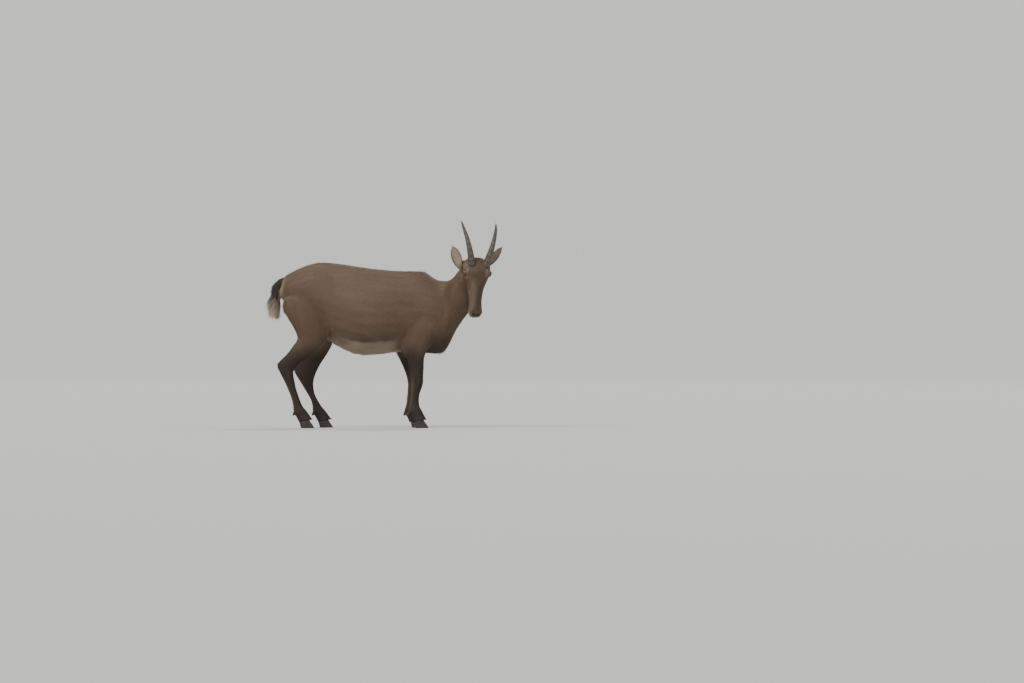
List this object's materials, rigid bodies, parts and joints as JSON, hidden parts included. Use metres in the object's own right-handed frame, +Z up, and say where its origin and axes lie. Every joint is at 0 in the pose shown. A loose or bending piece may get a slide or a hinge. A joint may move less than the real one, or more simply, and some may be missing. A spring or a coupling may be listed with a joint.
{
  "type": "alpine ibex",
  "caption": "Life-size standing alpine ibex doe with short swept-back horns, head turned to look out to its right, as a museum shows it",
  "frame": {"origin": "on the ground, under the middle of the bounding box", "axes": "+X is the way the body faces, +Y its left side, +Z up"},
  "size_m": [1.131, 0.3554, 0.9934],
  "materials": {
    "body_coat": "short dense grey-brown hair",
    "face_coat": "very short brown hair",
    "leg_coat": "short dark brown hair",
    "tail_hair": "dark locks with a pale tuft below",
    "horn": "ringed grey-brown horn",
    "hoof": "dark horn, slightly worn",
    "eye": "wet amber-brown with a level slit pupil"
  },
  "bodies": {
    "root": {"torso": "body_coat", "neck": "body_coat", "head": "face_coat", "ear_right": "face_coat", "ear_left": "face_coat", "tail": "tail_hair", "horn_right": "horn", "horn_left": "horn", "eye_right": "eye", "eye_left": "eye", "leg_fore_right_upper": "body_coat", "leg_fore_right_lower": "leg_coat", "hoof_fore_right_outer": "hoof", "dewclaw_fore_right_outer": "hoof", "hoof_fore_right_inner": "hoof", "dewclaw_fore_right_inner": "hoof", "leg_fore_left_upper": "body_coat", "leg_fore_left_lower": "leg_coat", "hoof_fore_left_outer": "hoof", "dewclaw_fore_left_outer": "hoof", "hoof_fore_left_inner": "hoof", "dewclaw_fore_left_inner": "hoof", "leg_hind_right_upper": "body_coat", "leg_hind_right_lower": "leg_coat", "hoof_hind_right_outer": "hoof", "dewclaw_hind_right_outer": "hoof", "hoof_hind_right_inner": "hoof", "dewclaw_hind_right_inner": "hoof", "leg_hind_left_upper": "body_coat", "leg_hind_left_lower": "leg_coat", "hoof_hind_left_outer": "hoof", "dewclaw_hind_left_outer": "hoof", "hoof_hind_left_inner": "hoof", "dewclaw_hind_left_inner": "hoof"}
  },
  "joints": []
}
